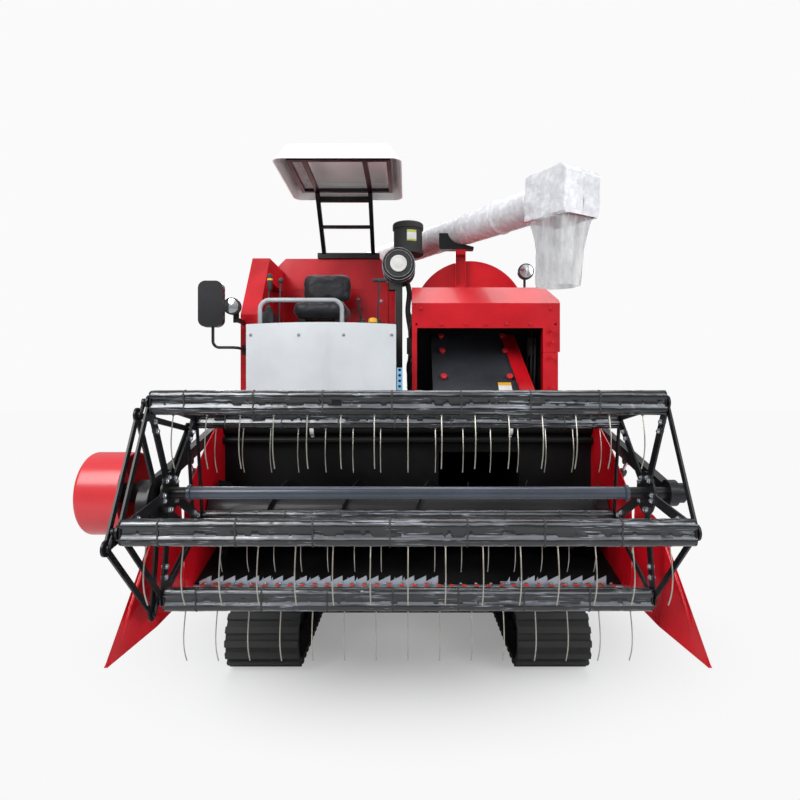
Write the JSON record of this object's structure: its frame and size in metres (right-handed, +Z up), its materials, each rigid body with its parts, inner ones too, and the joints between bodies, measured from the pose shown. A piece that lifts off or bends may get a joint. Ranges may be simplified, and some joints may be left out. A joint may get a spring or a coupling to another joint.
{
  "type": "combine harvester",
  "caption": "Tracked rice combine with open operator platform, raised header with eccentric tine reel, knife and auger, grain tank and slewing unloading auger.",
  "frame": {"origin": "bottom centre of the bounding box of the parked machine, at ground level", "axes": "+Z up, -Y forward towards the header, +X towards the machine's left side"},
  "size_m": [2.6, 4.9298, 3.395],
  "materials": {
    "track_rubber": "matte moulded",
    "black_steel": "satin black paint",
    "cast_iron": "rough cast",
    "silver_sheet": "satin silver sheet",
    "red_paint": "gloss red paint",
    "grey_tube": "grey enamel",
    "seat_vinyl": "wrinkled black cover",
    "canopy_plastic": "white moulded",
    "black_plastic": "moulded",
    "red_plastic": "moulded",
    "lamp_glass": "polished reflector",
    "clear_film": "stretch film",
    "knife_steel": "ground steel",
    "chrome_rod": "polished",
    "wrapped_steel": "black paint under stretch film"
  },
  "bodies": {
    "machine": {"air_cleaner": "black_plastic", "auger_rest": "red_paint", "back_wall": "red_paint", "canopy": "canopy_plastic", "canopy_frame": "black_steel", "chassis_frame": "black_steel", "control_consoles": "black_steel", "drive_gearbox": "black_steel", "drive_pulleys": "black_steel", "drive_sprockets": "cast_iron", "drum_cover": "red_paint", "engine": "black_steel", "front_hood": "red_paint", "front_panel": "silver_sheet", "fuel_tank": "black_steel", "grain_tank": "red_paint", "handrail": "grey_tube", "hood_columns": "red_paint", "intake_cover": "black_steel", "mirror": "black_steel", "platform": "black_steel", "radiator": "black_steel", "seat_base": "black_steel", "seat_cushions": "seat_vinyl", "side_panel": "red_paint", "straw_hood": "red_paint", "thresher_housing": "red_paint", "track_frames": "black_steel", "track_left": "track_rubber", "track_right": "track_rubber", "track_rollers": "black_steel", "undercarriage": "black_steel", "unload_riser": "red_paint", "work_lamps": "lamp_glass"},
    "header": {"feeder_house": "red_paint", "header_trough": "black_steel", "side_plate_left": "red_paint", "side_plate_right": "red_paint", "cutter_bar": "knife_steel"},
    "header_auger": {"header_auger": "black_steel"},
    "lift_barrel": {"lift_barrel": "black_steel"},
    "lift_rod": {"lift_rod": "chrome_rod"},
    "reel_arms": {"reel_arms": "black_steel", "reel_drive_cover": "red_plastic"},
    "reel_barrels": {"reel_barrels": "black_steel"},
    "reel_rods": {"reel_rods": "chrome_rod"},
    "reel": {"reel": "black_steel"},
    "reel_eccentric": {"reel_eccentric": "black_steel"},
    "unload_turret": {"unload_turret": "black_steel"},
    "unload_tube": {"unload_tube": "red_paint", "unload_spout": "red_paint", "spout_film": "clear_film"},
    "tank_lid": {"tank_lid": "red_paint"},
    "side_door": {"side_door": "red_paint"},
    "radiator_door": {"radiator_door": "black_steel"},
    "reel_bat_1": {"reel_bat_1": "wrapped_steel"},
    "reel_bat_2": {"reel_bat_2": "wrapped_steel"},
    "reel_bat_3": {"reel_bat_3": "wrapped_steel"},
    "reel_bat_4": {"reel_bat_4": "wrapped_steel"},
    "reel_bat_5": {"reel_bat_5": "wrapped_steel"}
  },
  "joints": [
    {"name": "header_lift", "type": "hinge", "parent": "machine", "child": "header", "pos_m": [0.085, 0.41491, 1.55], "axis": [1, 0, 0], "range_deg": [0, 25.5]},
    {"name": "lift_barrel_swing", "type": "hinge", "parent": "machine", "child": "lift_barrel", "pos_m": [0.515, 0.33491, 0.6], "axis": [1, 0, 0], "range_deg": [-15, 15]},
    {"name": "lift_rod_slide", "type": "slide", "parent": "lift_barrel", "child": "lift_rod", "axis": [0, -0.8127, 0.5826], "range_m": [-0.4, 0.002]},
    {"name": "header_auger_spin", "type": "hinge", "parent": "header", "child": "header_auger", "pos_m": [0.085, -1.21509, 1.165], "axis": [1, 0, 0], "continuous": true},
    {"name": "reel_lift", "type": "hinge", "parent": "header", "child": "reel_arms", "pos_m": [0.085, -1.00009, 1.65], "axis": [1, 0, 0], "range_deg": [-22, 0]},
    {"name": "reel_barrels_swing", "type": "hinge", "parent": "header", "child": "reel_barrels", "pos_m": [0.085, -1.21509, 1.24], "axis": [1, 0, 0], "range_deg": [-25, 25]},
    {"name": "reel_rods_slide", "type": "slide", "parent": "reel_barrels", "child": "reel_rods", "axis": [0, -0.6752, 0.7376], "range_m": [-0.002, 0.165]},
    {"name": "reel_spin", "type": "hinge", "parent": "reel_arms", "child": "reel", "pos_m": [0.085, -1.95509, 1.417], "axis": [1, 0, 0], "continuous": true},
    {"name": "reel_eccentric_spin", "type": "hinge", "parent": "reel_arms", "child": "reel_eccentric", "pos_m": [0.085, -1.99009, 1.367], "axis": [1, 0, 0], "continuous": true},
    {"name": "reel_bat_1_turn", "type": "hinge", "parent": "reel", "child": "reel_bat_1", "pos_m": [0.085, -2.39991, 1.34893], "axis": [1, 0, 0], "continuous": true},
    {"name": "reel_bat_2_turn", "type": "hinge", "parent": "reel", "child": "reel_bat_2", "pos_m": [0.085, -2.15728, 1.81902], "axis": [1, 0, 0], "continuous": true},
    {"name": "reel_bat_3_turn", "type": "hinge", "parent": "reel", "child": "reel_bat_3", "pos_m": [0.085, -1.63523, 1.73353], "axis": [1, 0, 0], "continuous": true},
    {"name": "reel_bat_4_turn", "type": "hinge", "parent": "reel", "child": "reel_bat_4", "pos_m": [0.085, -1.55521, 1.21061], "axis": [1, 0, 0], "continuous": true},
    {"name": "reel_bat_5_turn", "type": "hinge", "parent": "reel", "child": "reel_bat_5", "pos_m": [0.085, -2.02781, 0.97291], "axis": [1, 0, 0], "continuous": true},
    {"name": "unload_slew", "type": "hinge", "parent": "machine", "child": "unload_turret", "pos_m": [-0.535, 1.61491, 2.96], "axis": [0, 0, 1], "range_deg": [0, 150]},
    {"name": "unload_lift", "type": "hinge", "parent": "unload_turret", "child": "unload_tube", "pos_m": [-0.535, 1.61491, 3.18], "axis": [-0.8759, -0.4824, 0], "range_deg": [0, 30]},
    {"name": "tank_lid_hinge", "type": "hinge", "parent": "machine", "child": "tank_lid", "pos_m": [-0.9, 0.01491, 2.862], "axis": [0, 1, 0], "range_deg": [-110, 0]},
    {"name": "side_door_hinge", "type": "hinge", "parent": "machine", "child": "side_door", "pos_m": [1.085, 0.01491, 2.232], "axis": [0, 1, 0], "range_deg": [-95, 0]},
    {"name": "radiator_door_hinge", "type": "hinge", "parent": "machine", "child": "radiator_door", "pos_m": [-0.987, -0.09709, 0], "axis": [0, 0, 1], "range_deg": [-110, 0]}
  ],
  "couplings": [
    {"joint": "lift_barrel_swing", "follows": "header_lift", "ratio": 0.4773},
    {"joint": "lift_rod_slide", "follows": "header_lift", "m_per_rad": -0.85711},
    {"joint": "reel_barrels_swing", "follows": "reel_lift", "ratio": 0.53842},
    {"joint": "reel_rods_slide", "follows": "reel_lift", "m_per_rad": -0.41961},
    {"joint": "reel_eccentric_spin", "follows": "reel_spin", "ratio": 1},
    {"joint": "reel_bat_1_turn", "follows": "reel_spin", "ratio": -1},
    {"joint": "reel_bat_2_turn", "follows": "reel_spin", "ratio": -1},
    {"joint": "reel_bat_3_turn", "follows": "reel_spin", "ratio": -1},
    {"joint": "reel_bat_4_turn", "follows": "reel_spin", "ratio": -1},
    {"joint": "reel_bat_5_turn", "follows": "reel_spin", "ratio": -1}
  ]
}
